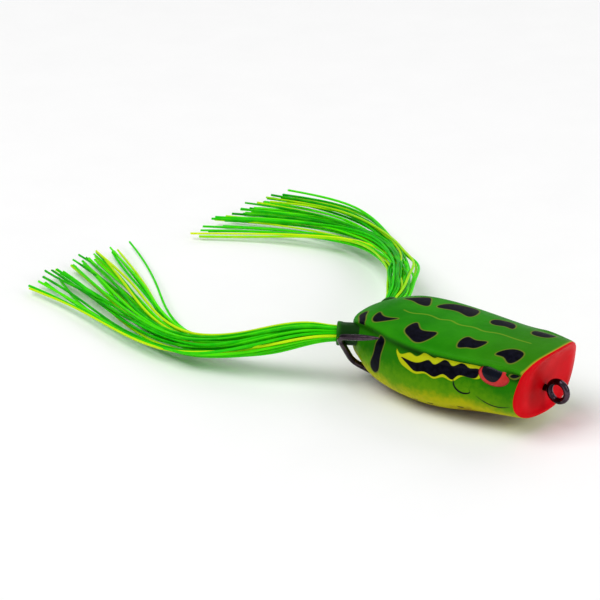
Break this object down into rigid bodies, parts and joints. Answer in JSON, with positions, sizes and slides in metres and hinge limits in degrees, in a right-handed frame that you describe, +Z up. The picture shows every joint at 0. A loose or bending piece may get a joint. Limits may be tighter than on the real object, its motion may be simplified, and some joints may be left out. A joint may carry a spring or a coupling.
{
  "type": "topwater popper lure",
  "caption": "Hollow-body popping frog lure: cupped face, spotted back, double hook with line-tie eye, and rubber skirt legs.",
  "frame": {"origin": "centre of the line-tie eye's ring in front of the mouth", "axes": "+X forwards out of the mouth, +Y to the frog's left along the ring's hole, +Z up"},
  "size_m": [0.1638, 0.1084, 0.0199],
  "materials": {
    "soft_body": "painted soft plastic, satin",
    "eye": "glossy",
    "hook_steel": "black nickel plating",
    "braze": "dull",
    "lead": "dull cast",
    "collar": "soft satin",
    "band": "dull",
    "green_strand": "silky",
    "lime_strand": "silky"
  },
  "bodies": {
    "lure_body": {"body_shell": "soft_body", "right_eye": "eye", "left_eye": "eye", "right_leg_collar": "collar", "left_leg_collar": "collar", "right_leg_band": "band", "left_leg_band": "band", "leg_core": "green_strand"},
    "hook": {"line_tie_eye": "hook_steel", "shank_braze": "braze", "keel_weight": "lead", "right_hook_wire": "hook_steel", "left_hook_wire": "hook_steel"},
    "right_leg": {"right_leg_root": "green_strand", "right_leg_green_strands": "green_strand", "right_leg_lime_strands": "lime_strand"},
    "left_leg": {"left_leg_root": "green_strand", "left_leg_green_strands": "green_strand", "left_leg_lime_strands": "lime_strand"}
  },
  "joints": [
    {"name": "hook_drop", "type": "hinge", "parent": "lure_body", "child": "hook", "pos_m": [-0.00425, 0, 0], "axis": [0, 1, 0], "range_deg": [-8, 0], "stiffness_Nm_per_rad": 0.25},
    {"name": "right_leg_swing", "type": "hinge", "parent": "lure_body", "child": "right_leg", "pos_m": [-0.05702, -0.01007, 0.00278], "axis": [0, 0, 1], "range_deg": [-4, 40], "stiffness_Nm_per_rad": 0.002},
    {"name": "left_leg_swing", "type": "hinge", "parent": "lure_body", "child": "left_leg", "pos_m": [-0.05702, 0.01007, 0.00278], "axis": [0, 0, 1], "range_deg": [-12, 4], "stiffness_Nm_per_rad": 0.002}
  ]
}
